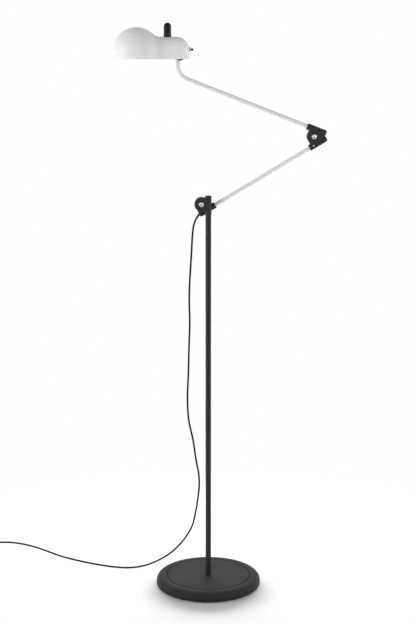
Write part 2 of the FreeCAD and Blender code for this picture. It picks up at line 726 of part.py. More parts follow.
# ---------------------------------------------------------------- shade
def shade_form(name, inset, floor):
    """The shade's outside, or with an inset its inside: a round dome with a lower domed tail."""
    dome = f"Sizes.dome_radius - {inset}"
    tail = f"Sizes.tail_radius - {inset}"
    dome_centre = Vector(DOME_X, 0, RIM + size("dome_skirt"))
    tail_centre = Vector(TAIL_X, 0, RIM + size("tail_skirt"))
    down = Z_AXIS * -1
    pieces = [
        solid("Sphere", name + "_dome", dome_centre, Rotation(), Radius=dome),
        round_run(name + "_dome_skirt", dome, dome_centre, down, f"Sizes.dome_skirt + {floor}"),
        solid("Sphere", name + "_tail_end", tail_centre, Rotation(), Radius=tail),
        round_run(name + "_tail_skirt", tail, tail_centre, down, f"Sizes.tail_skirt + {floor}"),
        round_run(name + "_tail_roof", tail, tail_centre, X_AXIS * -1,
                  "Sizes.dome_reach - Sizes.tail_reach"),
    ]
    sides = solid("Box", name + "_tail_sides",
                  Vector(DOME_X, -size("tail_radius"), RIM),
                  Length="Sizes.dome_reach - Sizes.tail_reach",
                  Width=f"2 * ({tail})", Height=f"Sizes.tail_skirt + {floor}")
    sides.setExpression("Placement.Base.y", f"-({tail})")
    sides.setExpression("Placement.Base.z", f"{RIM} - {floor}")
    lower_half = solid("Box", name + "_below", Vector(DOME_X - 200, -200, RIM - 200),
                       Length="400", Width="400", Height="200")
    lower_half.setExpression("Placement.Base.z", f"{RIM - 200} - {floor}")
    form = cut(name + "_form", joined(name + "_union", *pieces, sides), lower_half)
    blend = size("valley_radius") + (size("shade_wall") if floor != "0" else 0)
    return rounded(name + "_valley", form, blend, valley_edge)


def valley_edge(edge):
    """Whether an edge is where the dome meets the tail."""
    box = edge.BoundBox
    middle = (box.XMin + box.XMax) / 2
    close_to_dome = DOME_X + 30 < box.XMin and box.XMax < TAIL_X - 15
    return close_to_dome and middle < TAIL_X - 20 and box.ZMax > RIM + 1


def make_shade():
    """Thin spun shell with the toggle's hole, the handle's hole and the vents across the dome."""
    outer = shade_form("shade_outside", "0", "0")
    inner = shade_form("shade_inside", "Sizes.shade_wall", "1")
    handle_hole = round_run("shade_handle_hole", "Sizes.handle_screw_radius + 0.2",
                            Vector(TILT.x - size("handle_reach"), 0, TAIL_TOP - 10), Z_AXIS, "20")
    switch_hole = round_run("shade_switch_hole", "Sizes.bush_radius + 0.1",
                            Vector(TAIL_X + size("tail_radius") - 10, 0, RIM + size("switch_height")),
                            X_AXIS, "20")
    vents = []
    centre = Vector(DOME_X - size("vent_shift"), 0, RIM + size("dome_skirt"))
    for side in (-1, 1):
        for row in ("inner", "outer"):
            tilt = side * math.radians(size(f"vent_{row}_angle"))
            way = Vector(0, math.sin(tilt), math.cos(tilt))
            vents.append(round_run(f"vent_{row}_{side + 1}", "Sizes.vent_radius",
                                   centre + way * (size("dome_radius") - 10), way, "20"))
    node(cut("shade_shell", outer, inner, handle_hole, switch_hole, *vents), "shade")
    return outer, inner


def make_handle(outer):
    """Round grip with a domed top on a collar that follows the curve of the shade's roof."""
    place = Vector(TILT.x - size("handle_reach"), 0, TAIL_TOP)
    collar = solid("Cylinder", "collar_blank", place - Z_AXIS * 3, Rotation(),
                   Radius="Sizes.collar_radius", Height="Sizes.collar_height + 3")
    collar_hole = round_run("collar_hole", "Sizes.handle_screw_radius", place - Z_AXIS * 3, Z_AXIS,
                            "Sizes.collar_height + 3")
    node(cut("collar_cut", collar, outer, collar_hole), "handle_collar")

    grip = turned("grip_body", [
        ("0", "0"), ("Sizes.grip_neck", "0"), ("Sizes.grip_neck", "Sizes.grip_gap"),
        ("Sizes.grip_radius", "Sizes.grip_gap"), ("Sizes.grip_radius", "Sizes.grip_height"),
        ("0", "Sizes.grip_height"),
    ])
    dressed(grip, "grip_dome", "Sizes.grip_radius - 0.05", lambda e: flat_at(e, "Z", size("grip_height")))
    bite = round_run("grip_thread", "Sizes.handle_screw_radius", Vector(), Z_AXIS, "Sizes.screw_bite")
    node(cut("grip_tapped", grip, bite), "handle_grip", place + Z_AXIS * size("collar_height"))


# ---------------------------------------------------------------- frame inside the shade
def make_head_frame(inner):
    """Bent sheet that hangs from the handle's screw, carries the lampholder and tilts on the cheeks."""
    gap = size("block_half_depth") + size("friction_washer")
    web_low = TAIL_TOP - size("web_drop")
    web_height = "Sizes.tail_skirt + Sizes.tail_radius - Sizes.web_drop"
    cheeks = []
    for side in (-1, 1):
        face = gap if side > 0 else -gap - size("sheet")
        eye = solid("Cylinder", f"cheek_eye_{side + 1}", TILT + Y_AXIS * face, along(Y_AXIS),
                    Radius="Sizes.cheek_round", Height="Sizes.sheet")
        arm = solid("Box", f"cheek_arm_{side + 1}", Vector(TILT.x - size("cheek_round"), face, TILT.z),
                    Length="2 * Sizes.cheek_round", Width="Sizes.sheet",
                    Height=web_height + " + Sizes.sheet - Sizes.rim_below_tilt")
        cheeks += [eye, arm]
    half = "Sizes.block_half_depth + Sizes.friction_washer + Sizes.sheet"
    web = solid("Box", "frame_web", Vector(TILT.x - size("web_end"), -gap - size("sheet"), web_low),
                Length="Sizes.web_end + Sizes.cheek_round", Width=f"2 * ({half})", Height="Sizes.sheet")
    flange = solid("Box", "frame_flange",
                   Vector(TILT.x - size("web_end"), -size("flange_half_width"),
                          RIM + size("flange_bottom")),
                   Length="Sizes.sheet", Width="2 * Sizes.flange_half_width",
                   Height=web_height + " + Sizes.sheet - Sizes.flange_bottom")
    blank = joined("frame_blank", web, flange, *cheeks)
    tilt_hole = round_run("frame_tilt_hole", "Sizes.tilt_screw_radius",
                          TILT - Y_AXIS * (gap + size("sheet")), Y_AXIS, f"2 * ({half})")
    handle_hole = round_run("frame_handle_hole", "Sizes.handle_screw_radius",
                            Vector(TILT.x - size("handle_reach"), 0, web_low), Z_AXIS, "Sizes.sheet")
    holder_hole = round_run("frame_holder_hole", "Sizes.nipple_radius",
                            Vector(TILT.x - size("web_end"), 0, RIM + size("holder_height")), X_AXIS,
                            "Sizes.sheet")
    node(cut("frame_cut", blank, tilt_hole, handle_hole, holder_hole), "head_frame")

    place = Vector(TILT.x - size("handle_reach"), 0, web_low + size("sheet"))
    tall = solid("Cylinder", "spacer_blank", place, Rotation(), Radius="Sizes.spacer_radius", Height="20")
    seated = shared("spacer_seated", tall, inner)
    spacer_hole = round_run("spacer_hole", "Sizes.handle_screw_radius", place, Z_AXIS, "20")
    node(cut("spacer_cut", seated, spacer_hole), "handle_spacer")

    shank = round_run("handle_screw_shank", "Sizes.handle_screw_radius",
                      Vector(place.x, 0, web_low), Z_AXIS,
                      "Sizes.web_drop + Sizes.collar_height + Sizes.screw_bite")
    head = round_run("handle_screw_cap", "Sizes.handle_screw_head",
                     Vector(place.x, 0, web_low - size("screw_head_height")), Z_AXIS,
                     "Sizes.screw_head_height")
    node(joined("handle_screw_whole", shank, head), "handle_screw")


# ---------------------------------------------------------------- lampholder and bulb
def make_lampholder():
    """Lampholder on a threaded nipple through the frame's flange, with its ring, nut and bulb."""
    turn = along(X_AXIS * -1)
    seat = Vector(TILT.x - size("web_end"), 0, RIM + size("holder_height"))
    mouth = "Sizes.holder_length"
    cavity = "Sizes.bulb_cap_radius + 0.4"
    node(turned("lampholder", [
        ("0", "0"), ("Sizes.holder_radius", "0"),
        ("Sizes.holder_radius", mouth),
        (cavity, mouth), (cavity, mouth + " - Sizes.bulb_cap_length - 1"),
        ("0", mouth + " - Sizes.bulb_cap_length - 1"),
    ], seat, turn), "lampholder")
    ring_start = "Sizes.holder_length - Sizes.holder_ring_length"
    node(turned("lampholder_ring", [
        ("Sizes.holder_radius", ring_start),
        ("Sizes.holder_flange", ring_start),
        ("Sizes.holder_flange", ring_start + " + Sizes.holder_step * 2"),
        ("Sizes.holder_radius + Sizes.holder_step", ring_start + " + Sizes.holder_step * 2"),
        ("Sizes.holder_radius + Sizes.holder_step", mouth),
        ("Sizes.holder_radius", mouth),
    ], seat, turn), "lampholder_ring")
    back = seat + X_AXIS * size("sheet")
    node(turned("holder_nipple", [
        ("Sizes.nipple_bore", "0"), ("Sizes.nipple_radius", "0"),
        ("Sizes.nipple_radius", "Sizes.nipple_length - Sizes.holder_wall"),
        ("Sizes.nipple_bore", "Sizes.nipple_length - Sizes.holder_wall"),
    ], seat, along(X_AXIS)), "holder_nipple")
    hex_nut("holder_nut", "Sizes.nipple_radius", "Sizes.nipple_nut_radius", "Sizes.nipple_nut_height",
            back, X_AXIS)

    bulb_start = "Sizes.holder_length - Sizes.bulb_cap_length"
    neck_end = "Sizes.holder_length + Sizes.bulb_neck_length"
    node(turned("bulb_cap", [
        ("0", bulb_start), ("2", bulb_start), ("Sizes.bulb_cap_radius", bulb_start + " + 4"),
        ("Sizes.bulb_cap_radius", "Sizes.holder_length + 1"), ("0", "Sizes.holder_length + 1"),
    ], seat, turn), "bulb_cap")
    globe_centre = seat - X_AXIS * (size("holder_length") + size("bulb_neck_length")
                                    + size("bulb_radius") - size("bulb_sink"))
    globe = solid("Sphere", "bulb_ball", globe_centre, Rotation(), Radius="Sizes.bulb_radius")
    neck = turned("bulb_neck_body", [
        ("0", "Sizes.holder_length + 1"),
        ("Sizes.bulb_cap_radius + 1", "Sizes.holder_length + 1"),
        ("Sizes.bulb_cap_radius + 2", "Sizes.holder_length + 4"),
        ("Sizes.bulb_neck_radius", neck_end),
        ("0", neck_end),
    ], seat, turn)
    hollow = solid("Sphere", "bulb_hollow", globe_centre, Rotation(),
                   Radius="Sizes.bulb_radius - Sizes.bulb_wall")
    node(cut("bulb_glass_blown", joined("bulb_glass_whole", neck, globe), hollow), "bulb_glass")


# ---------------------------------------------------------------- toggle switch
def make_switch():
    """Toggle switch inside the tail, its threaded bush and nut through the end wall, and its lever."""
    wall = Vector(TAIL_X + size("tail_radius"), 0, RIM + size("switch_height"))
    shelf = wall - X_AXIS * (size("shade_wall") + size("switch_gap"))
    body = solid("Box", "switch_case",
                 shelf - Vector(size("switch_length"), size("switch_half_width"),
                                size("switch_half_height")),
                 Length="Sizes.switch_length", Width="2 * Sizes.switch_half_width",
                 Height="2 * Sizes.switch_half_height")
    cavity = round_run("switch_case_cavity", "Sizes.switch_cavity", shelf, X_AXIS * -1,
                       "Sizes.cavity_depth + Sizes.lever_tail")
    node(cut("switch_case_cut", body, cavity), "switch_body")

    length = "Sizes.shade_wall + Sizes.switch_gap + Sizes.bush_proud"
    bush = round_run("bush_outside", "Sizes.bush_radius", shelf, X_AXIS, length)
    bore = round_run("bush_inside", "Sizes.bush_bore", shelf, X_AXIS, length)
    node(cut("bush_cut", bush, bore), "switch_bush")
    hex_nut("switch_nut", "Sizes.bush_radius", "Sizes.switch_nut_radius", "Sizes.switch_nut_thickness",
            wall, X_AXIS)

    pivot = shelf - X_AXIS * (size("lever_pivot_depth") - 2.0)
    lean = math.radians(size("lever_lean"))
    way = Vector(math.cos(lean), -math.sin(lean), 0)
    rod = round_run("lever_rod", "Sizes.lever_radius", pivot - way * size("lever_tail"), way,
                    "Sizes.lever_tail + Sizes.lever_length")
    tip = solid("Sphere", "lever_tip", pivot + way * size("lever_length"), Rotation(),
                Radius="Sizes.lever_ball")
    pin = solid("Cylinder", "lever_pin", pivot - Z_AXIS * (size("lever_pin_length") / 2), Rotation(),
                Radius="Sizes.lever_pin_radius", Height="Sizes.lever_pin_length")
    node(joined("lever_whole", rod, tip, pin), "switch_lever")
    return pivot


# ---------------------------------------------------------------- mains cord
# The cord leaves the lower arm's bracket, hangs beside the pole, swings out past the base and
# lies on the floor to a coil with the plug beside it.
CORD_DROP = [
    Vector(-32.9, 17.0, 997.5),
    Vector(-39.2, 17.1, 978.0),
    Vector(-42.1, 17.8, 951.0),
    Vector(-44.2, 18.7, 905.0),
    Vector(-48.4, 20.2, 845.0),
    Vector(-50.9, 23.0, 784.0),
    Vector(-48.6, 26.0, 717.0),
    Vector(-51.9, 28.0, 646.0),
    Vector(-53.1, 29.0, 580.0),
    Vector(-56.5, 30.0, 521.0),
    Vector(-54.4, 33.0, 452.0),
    Vector(-40.6, 35.5, 395.0),
    Vector(-34.3, 38.0, 342.0),
    Vector(-24.3, 43.0, 291.0),
    Vector(-25.1, 47.5, 248.0),
    Vector(-33.7, 53.0, 189.0),
    Vector(-44.2, 60.0, 137.0),
    Vector(-76.1, 72.0, 86.0),
    Vector(-111.0, 86.0, 48.0),
    Vector(-160.0, 99.0, 17.0),
]
CORD_FLOOR = [
    Vector(-204.0, 109.0, 2.5),
    Vector(-247.5, 107.5, 2.5),
    Vector(-305.5, 128.0, 2.5),
    Vector(-364.0, 159.0, 2.5),
    Vector(-420.0, 193.5, 2.5),
    Vector(-474.0, 246.0, 2.5),
    Vector(-528.0, 290.0, 2.5),
    Vector(-585.5, 316.0, 2.5),
    Vector(-643.0, 309.0, 2.5),
    Vector(-698.0, 292.5, 2.5),
]
COIL_CENTRE = Vector(-698.0, 327.0, 0)


def gland_way():
    """The direction in which the cord leaves the lower arm's bracket."""
    return (CORD_DROP[0] - gland_exit()).normalize()


def gland_exit():
    """Where the cord leaves the gland."""
    return LOWER_AXIS - LOWER_WAY * (size("lower_closed_end") + 1.0)


def gland_start():
    """The gland's inner end, where the cord takes over from the lead in the tube."""
    return gland_exit() - gland_way() * size("gland_length")


def gland_hole(place, turn):
    """The gland's hole, in the frame of the casting that it is drilled in."""
    local = Placement(place, turn).inverse()
    start = local.multVec(gland_start())
    way = local.Rotation.multVec(gland_way())
    return solid("Cylinder", "gland_hole", start, along(way), Radius="Sizes.gland_radius",
                 Height="Sizes.gland_length + 10")


def make_gland():
    """Tapered gland that grips the cord in the end of the lower arm's bracket."""
    node(turned("cord_gland", [
        ("Sizes.cord_radius", "0"),
        ("Sizes.gland_radius", "0"),
        ("Sizes.gland_radius", "Sizes.gland_length - Sizes.gland_proud"),
        ("Sizes.cord_radius + 0.3", "Sizes.gland_length"),
        ("Sizes.cord_radius", "Sizes.gland_length"),
    ], gland_start(), along(gland_way())), "cord_gland")


def arc_points(before, corner, after):
    """Start, middle and end of the arc that rounds a corner, and its radius."""
    back = before - corner
    ahead = after - corner
    trim = 0.45 * min(back.Length, ahead.Length)
    bend = math.pi - back.getAngle(ahead)
    radius = trim / math.tan(bend / 2)
    first = corner + back.normalize() * trim
    last = corner + ahead.normalize() * trim
    inward = (first + last) * 0.5 - corner
    middle = corner + inward.normalize() * (radius / math.cos(bend / 2) - radius)
    return first, middle, last, radius


def cord_tubes(points, breaks):
    """Tubes along the route, one for each stretch between breaks, and every arc's radius."""
    cursor = points[0]
    stretches = [[]]
    radii = []
    for k in range(1, len(points) - 1):
        first, middle, last, radius = arc_points(points[k - 1], points[k], points[k + 1])
        radii.append(radius)
        stretches[-1].append(Part.LineSegment(cursor, first).toShape())
        if k in breaks:
            stretches.append([])
        stretches[-1].append(Part.Arc(first, middle, last).toShape())
        cursor = last
    stretches[-1].append(Part.LineSegment(cursor, points[-1]).toShape())
    return stretches, radii


def sweep(name, edges):
    """One solid tube of the cord's section along a chain of edges."""
    wire = Part.Wire(edges)
    start = wire.OrderedEdges[0]
    at = start.valueAt(start.FirstParameter)
    way = start.tangentAt(start.FirstParameter)
    section = Part.Wire([Part.Circle(at, way, size("cord_radius")).toShape()])
    tube = wire.makePipeShell([section], True, False)
    expected = math.pi * size("cord_radius") ** 2 * wire.Length
    print(name, "length", round(wire.Length, 1), "volume over section x length",
          round(tube.Volume / expected, 5))
    made = doc.addObject("Part::Feature", name + "_tube")
    made.Shape = tube
    made.Placement = Placement()
    return made


def make_cord():
    """The hanging and lying cord, its coil, the coil's tie and the plug."""
    points = [gland_start()] + CORD_DROP + CORD_FLOOR
    stretches, radii = cord_tubes(points, {6, len(CORD_DROP) + 1})
    print("arc radii", [round(radius) for radius in radii])
    for name, edges in zip(("cord_upper", "cord_drop", "cord_floor"), stretches):
        node(sweep(name, edges), name)

    outer = "Sizes.coil_radius + Sizes.coil_width / 2"
    inner = "Sizes.coil_radius - Sizes.coil_width / 2"
    hoop = turned("coil_hoop", [
        (inner, "0"), (outer, "0"), (outer, "Sizes.coil_thickness"), (inner, "Sizes.coil_thickness"),
    ], COIL_CENTRE)
    dressed(hoop, "coil_round", "Sizes.cord_radius", lambda e: not runs_along(e, Z_AXIS))
    tail_line = COIL_CENTRE + Vector(size("cord_radius") - size("coil_radius") - size("coil_width") / 2,
                                     0, size("plug_half_thickness"))
    tail = round_run("coil_tail", "Sizes.cord_radius", tail_line + Y_AXIS * 10, Y_AXIS,
                     "Sizes.cord_tail - 10")
    node(joined("coil_whole", hoop, tail), "cord_coil")

    band = solid("Box", "tie_band",
                 COIL_CENTRE + Vector(size("coil_radius") - size("coil_width") / 2 - size("tie_margin"),
                                      -size("tie_width") / 2, 0),
                 Length="Sizes.coil_width + 2 * Sizes.tie_margin", Width="Sizes.tie_width",
                 Height="Sizes.coil_thickness + Sizes.tie_margin")
    node(cut("tie_cut", band, hoop), "cord_tie")

    plug_back = tail_line + Vector(0, size("cord_tail"), -size("plug_half_thickness"))
    body = solid("Box", "plug_block", plug_back - X_AXIS * size("plug_half_width"),
                 Length="2 * Sizes.plug_half_width", Width="Sizes.plug_length",
                 Height="2 * Sizes.plug_half_thickness")
    body = rounded("plug_round", body, size("plug_round"), lambda e: runs_along(e, Y_AXIS))
    node(body, "plug_body")
    pins = []
    for side in (-1, 1):
        start = plug_back + Vector(side * size("pin_spacing") / 2, size("plug_length"),
                                   size("plug_half_thickness"))
        pins.append(round_run(f"plug_pin_{side + 1}", "Sizes.pin_radius", start, Y_AXIS,
                              "Sizes.pin_length"))
    node(group("plug_pin_pair", pins), "plug_pins")


# ---------------------------------------------------------------- the lamp
make_base()
make_pole()
make_brackets()
make_washers()
make_pivot("lower_pivot", LOWER_PIVOT)
make_pivot("elbow", ELBOW_PIVOT)
make_lower_arm()
make_upper_arm()
make_knuckle()
make_tilt()
shade_outside, shade_inside = make_shade()
make_handle(shade_outside)
make_head_frame(shade_inside)
make_lampholder()
lever_pivot = make_switch()
make_gland()
make_cord()
doc.recompute()

for label, point in (("lower pivot", LOWER_PIVOT), ("elbow", ELBOW_PIVOT), ("tube top", TUBE_TOP),
                     ("tilt", TILT), ("lever pivot", lever_pivot), ("cord exit", gland_exit())):
    print(label, [round(part, 2) for part in point])
print("rim height", round(RIM, 2), "dome centre x", round(DOME_X, 2))

for thing in doc.Objects:
    if "Invalid" in thing.State or "Error" in thing.State:
        raise RuntimeError(f"{thing.Name} is {thing.State}")
for piece in SUBPARTS:
    if piece.Shape.isNull() or not piece.Shape.isValid():
        raise RuntimeError(f"{piece.Label} has no valid shape")
for piece in SUBPARTS:
    piece.Shape.exportStep(f"parts/{piece.Label}.step")
print(len(SUBPARTS), "sub-parts written")
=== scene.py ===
"""Looks of a floor lamp with a jointed arm: camera, cord, detailed small pieces, materials and light.

All lengths are in metres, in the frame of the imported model: +Z up, origin under the middle of the base.
"""

import math

import bmesh
import bpy
from mathutils import Matrix, Vector


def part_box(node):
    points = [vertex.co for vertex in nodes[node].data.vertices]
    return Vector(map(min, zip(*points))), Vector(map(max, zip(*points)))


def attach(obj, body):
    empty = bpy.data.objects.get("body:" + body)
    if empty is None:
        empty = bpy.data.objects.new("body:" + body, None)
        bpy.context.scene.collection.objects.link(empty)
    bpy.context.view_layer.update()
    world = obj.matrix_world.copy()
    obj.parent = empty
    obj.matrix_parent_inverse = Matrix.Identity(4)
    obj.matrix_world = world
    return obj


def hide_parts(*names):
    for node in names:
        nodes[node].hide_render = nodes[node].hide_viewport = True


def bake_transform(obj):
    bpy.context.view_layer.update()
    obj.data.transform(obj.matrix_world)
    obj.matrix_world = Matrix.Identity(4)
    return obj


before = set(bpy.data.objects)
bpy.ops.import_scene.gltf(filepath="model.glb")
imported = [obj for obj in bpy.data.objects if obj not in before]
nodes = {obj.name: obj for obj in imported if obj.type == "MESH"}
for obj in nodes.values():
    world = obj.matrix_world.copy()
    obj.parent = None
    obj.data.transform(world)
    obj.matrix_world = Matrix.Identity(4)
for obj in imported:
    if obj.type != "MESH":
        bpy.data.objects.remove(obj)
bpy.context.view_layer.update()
MM = 0.001


# ---------------------------------------------------------------- camera
LENS = 78.75
CAMERA_PLACE = (-0.0008, -3.533, 1.408)
CAMERA_TIP = math.radians(79.5)
VIEW_DEPTH = 60


def make_camera():
    """A long lens at the height of the shade, tipped down to take in the base."""
    data = bpy.data.cameras.new("camera")
    data.lens = LENS
    data.clip_end = VIEW_DEPTH
    camera = bpy.data.objects.new("camera", data)
    camera.location = CAMERA_PLACE
    camera.rotation_euler = (CAMERA_TIP, 0, 0)
    bpy.context.scene.collection.objects.link(camera)
    bpy.context.scene.camera = camera


# ---------------------------------------------------------------- mesh helpers
def centre(node):
    """The middle of a CAD node's box."""
    low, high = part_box(node)
    return (Vector(low) + Vector(high)) / 2


def new_object(name, mesh_builder):
    """A smooth-shaded object made from a bmesh, with its normals pointing out."""
    bmesh.ops.recalc_face_normals(mesh_builder, faces=mesh_builder.faces)
    mesh = bpy.data.meshes.new(name)
    mesh_builder.to_mesh(mesh)
    mesh_builder.free()
    made = bpy.data.objects.new(name, mesh)
    bpy.context.scene.collection.objects.link(made)
    for face in mesh.polygons:
        face.use_smooth = True
    return made


def skin_rings(bm, rings, closed=False):
    """Quads between neighbouring rings of vertices, with the two ends filled unless the rings close up."""
    pairs = list(zip(rings, rings[1:]))
    if closed:
        pairs.append((rings[-1], rings[0]))
    for first, second in pairs:
        count = len(first)
        for k in range(count):
            after = (k + 1) % count
            bm.faces.new((first[k], first[after], second[after], second[k]))
    if not closed:
        bm.faces.new(list(reversed(rings[0])))
        bm.faces.new(rings[-1])


def tube_along(name, points, radius_at, sides):
    """A closed tube along points, its radius a function of the distance from the start."""
    bm = bmesh.new()
    rings = []
    travelled = 0.0
    side = Vector((0, 1, 0))
    for k, point in enumerate(points):
        before = points[max(k - 1, 0)]
        after = points[min(k + 1, len(points) - 1)]
        way = (after - before).normalized()
        side = (side - way * side.dot(way)).normalized()
        up = way.cross(side)
        if k:
            travelled += (point - before).length
        radius = radius_at(travelled)
        rings.append([
            bm.verts.new(point + (side * math.cos(turn) + up * math.sin(turn)) * radius)
            for turn in (2 * math.pi * j / sides for j in range(sides))
        ])
    skin_rings(bm, rings)
    return new_object(name, bm)


def lathe(name, profile, place, axis, radius_at, sides):
    """A closed ring turned about an axis from (radius, height) pairs, its radius varied with the angle."""
    turn = Vector((0, 0, 1)).rotation_difference(Vector(axis)).to_matrix().to_4x4()
    turned = Matrix.Translation(place) @ turn
    bm = bmesh.new()
    rings = []
    for k in range(sides):
        angle = 2 * math.pi * k / sides
        ring = []
        for radius, height in profile:
            reach = radius_at(radius, angle)
            point = Vector((reach * math.cos(angle), reach * math.sin(angle), height))
            ring.append(bm.verts.new(turned @ point))
        rings.append(ring)
    skin_rings(bm, rings, closed=True)
    return new_object(name, bm)


# ---------------------------------------------------------------- cord
CORD_RADIUS = 2.5 * MM
# the route in millimetres, from the bracket down to the floor and along it to the coil
CORD_ROUTE = [
    (-20.9, 17.4, 1013.7),
    (-32.9, 17.0, 997.5),
    (-39.2, 17.1, 978.0),
    (-42.1, 17.8, 951.0),
    (-44.2, 18.7, 905.0),
    (-48.4, 20.2, 845.0),
    (-50.9, 23.0, 784.0),
    (-48.6, 26.0, 717.0),
    (-51.9, 28.0, 646.0),
    (-53.1, 29.0, 580.0),
    (-56.5, 30.0, 521.0),
    (-54.4, 33.0, 452.0),
    (-40.6, 35.5, 395.0),
    (-34.3, 38.0, 342.0),
    (-24.3, 43.0, 291.0),
    (-25.1, 47.5, 248.0),
    (-33.7, 53.0, 189.0),
    (-44.2, 60.0, 137.0),
    (-76.1, 72.0, 86.0),
    (-111.0, 86.0, 48.0),
    (-160.0, 99.0, 17.0),
    (-204.0, 109.0, 2.5),
    (-247.5, 107.5, 2.5),
    (-305.5, 128.0, 2.5),
    (-364.0, 159.0, 2.5),
    (-420.0, 193.5, 2.5),
    (-474.0, 246.0, 2.5),
    (-528.0, 290.0, 2.5),
    (-585.5, 316.0, 2.5),
    (-643.0, 309.0, 2.5),
]
CORD_ORDER = 3
CORD_RESOLUTION = 8
CORD_SIDES = 20

COIL_TURNS = 5.25
COIL_PITCH = 5.1 * MM
COIL_POINTS_PER_TURN = 16
COIL_INSET = 1.15 * CORD_RADIUS
COIL_FIRST_HEIGHT = 1.04 * CORD_RADIUS
COIL_STEP_UP = 1.96 * CORD_RADIUS
COIL_STEP_TURNS = 0.4

TAIL_RUN = 15 * MM
TAIL_EASE = 6 * MM
TAIL_GRIP = 4 * MM


def coil_points():
    """A flat winding: inwards on the floor for half its turns, then back out on top of itself."""
    low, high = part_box("cord_coil")
    outer = (high[0] - low[0]) / 2
    reach = outer - COIL_INSET
    middle = Vector((low[0] + outer, low[1] + outer, 0))
    half = COIL_TURNS / 2
    count = int(COIL_TURNS * COIL_POINTS_PER_TURN)
    points = []
    for k in range(count + 1):
        turns = COIL_TURNS * k / count
        radius = reach - COIL_PITCH * (turns if turns < half else COIL_TURNS - turns)
        step_up = min(max((turns - half) / COIL_STEP_TURNS + 0.5, 0), 1)
        angle = -math.pi / 2 - 2 * math.pi * turns
        height = COIL_FIRST_HEIGHT + COIL_STEP_UP * step_up
        points.append(middle + Vector((radius * math.cos(angle), radius * math.sin(angle), height)))
    return points


def tail_points():
    """From the top of the coil into the back of the plug."""
    low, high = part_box("plug_body")
    back = Vector(((low[0] + high[0]) / 2, low[1], (low[2] + high[2]) / 2))
    return [back + Vector((0, step, 0)) for step in (-TAIL_RUN, -TAIL_EASE, TAIL_GRIP)]


def spline_line(name, points):
    """The smooth line that a curve with these control points follows."""
    data = bpy.data.curves.new(name, "CURVE")
    data.dimensions = "3D"
    data.resolution_u = CORD_RESOLUTION
    spline = data.splines.new("NURBS")
    spline.points.add(len(points) - 1)
    for target, point in zip(spline.points, points):
        target.co = (*point, 1)
    spline.order_u = CORD_ORDER
    spline.use_endpoint_u = True
    curve = bpy.data.objects.new(name, data)
    bpy.context.scene.collection.objects.link(curve)
    mesh = bpy.data.meshes.new_from_object(curve)
    line = [vertex.co.copy() for vertex in mesh.vertices]
    bpy.data.meshes.remove(mesh)
    bpy.data.objects.remove(curve)
    return line


def length_of(line):
    """The length of a line of points."""
    return sum((b - a).length for a, b in zip(line, line[1:]))


def part_of(line, length):
    """The first stretch of a line."""
    kept = [line[0]]
    left = length
    for a, b in zip(line, line[1:]):
        step = (b - a).length
        if step >= left:
            kept.append(a + (b - a) * (left / step))
            break
        kept.append(b)
        left -= step
    return kept


def evenly(line, step):
    """The same line with a point at every step of its length."""
    total = length_of(line)
    count = max(2, round(total / step))
    out = [line[0]]
    k = 0
    done = 0.0
    for j in range(1, count):
        target = total * j / count
        while done + (line[k + 1] - line[k]).length < target:
            done += (line[k + 1] - line[k]).length
            k += 1
        share = (target - done) / (line[k + 1] - line[k]).length
        out.append(line[k].lerp(line[k + 1], share))
    out.append(line[-1])
    return out


def make_cord():
    """The mains cord from the bracket to the plug, its strain relief, tie and plug."""
    route = [Vector(point) * MM for point in CORD_ROUTE]
    line = spline_line("cord_line", route + coil_points() + tail_points())
    cord = tube_along("cord", line, lambda travelled: CORD_RADIUS, sides=CORD_SIDES)
    cord.data.materials.append(cord_sheath())
    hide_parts("cord_upper", "cord_drop", "cord_floor", "cord_coil")

    make_strain_relief(line)
    plug = make_plug()
    tie, tie_end = make_tie()
    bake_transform(cord)


SLEEVE_LENGTH = 21 * MM
SLEEVE_STEP = 0.35 * MM
SLEEVE_RADIUS = 3.35 * MM
SLEEVE_TAPER = 0.6 * MM
SLEEVE_SIDES = 24
GROOVE_DEPTH = 0.28 * MM
GROOVE_PITCH = 2.4 * MM
GROOVES_FROM = 8 * MM
GROOVES_TO = SLEEVE_LENGTH - 1 * MM


def sleeve_radius(travelled):
    """The sleeve's radius at a distance from its thick end: a taper, with grooves in its thinner part."""
    taper = SLEEVE_RADIUS - SLEEVE_TAPER * travelled / SLEEVE_LENGTH
    if not GROOVES_FROM < travelled < GROOVES_TO:
        return taper
    return taper - GROOVE_DEPTH * max(0, math.cos(2 * math.pi * travelled / GROOVE_PITCH))


def make_strain_relief(line):
    """Tapered sleeve with shallow grooves round the cord where it leaves the bracket."""
    path = evenly(part_of(line, SLEEVE_LENGTH), SLEEVE_STEP)
    relief = tube_along("strain_relief", path, sleeve_radius, sides=SLEEVE_SIDES)
    relief.data.materials.append(sleeve_plastic())
    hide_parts("cord_gland")
    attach(relief, "lower_arm")


LARGEST_CORNER = 0.98


def rounded_section(half_width, half_height, corner, steps):
    """Points round a rectangle with round corners, in its own plane."""
    corner = min(corner, half_width * LARGEST_CORNER, half_height * LARGEST_CORNER)
    points = []
    for quarter, (sx, sz) in enumerate(((1, 1), (-1, 1), (-1, -1), (1, -1))):
        for j in range(steps + 1):
            angle = math.pi / 2 * (quarter + j / steps)
            points.append((sx * (half_width - corner) + corner * math.cos(angle),
                           sz * (half_height - corner) + corner * math.sin(angle)))
    return points


NECK_RIBS = 4
FIRST_RIB = 0.05
RIB_PITCH = 0.05
